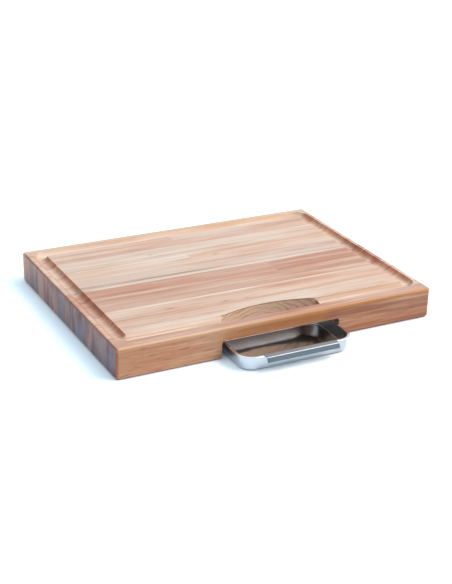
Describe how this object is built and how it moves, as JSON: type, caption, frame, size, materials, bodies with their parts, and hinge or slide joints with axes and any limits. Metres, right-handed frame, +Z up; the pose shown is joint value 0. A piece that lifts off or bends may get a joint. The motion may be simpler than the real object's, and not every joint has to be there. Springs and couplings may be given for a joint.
{
  "type": "cutting board with drawer tray",
  "caption": "Thick edge-grain wooden cutting board with a juice groove and a half-moon scoop hole that empties into a stainless tray drawn out of the front.",
  "frame": {"origin": "centre of the board's underside", "axes": "+X along the staves to the right, +Y from the tray's side to the back, +Z up"},
  "size_m": [0.6096, 0.5345, 0.0571],
  "materials": {
    "maple": "oiled",
    "runner_maple": "oiled",
    "screw_steel": "plain",
    "stainless": "polished"
  },
  "bodies": {
    "board": {"stave_01": "maple", "stave_02": "maple", "stave_03": "maple", "stave_04": "maple", "stave_05": "maple", "stave_06": "maple", "stave_07": "maple", "stave_08": "maple", "stave_09": "maple", "stave_10": "maple", "runner_left": "runner_maple", "runner_right": "runner_maple", "runner_screws_left": "screw_steel", "runner_screws_right": "screw_steel"},
    "tray": {"tray_pan": "stainless", "tray_pull": "stainless"}
  },
  "joints": [
    {"name": "tray_slide", "type": "slide", "parent": "board", "child": "tray", "axis": [0, -1, 0], "range_m": [-0.067, 0.03]}
  ]
}
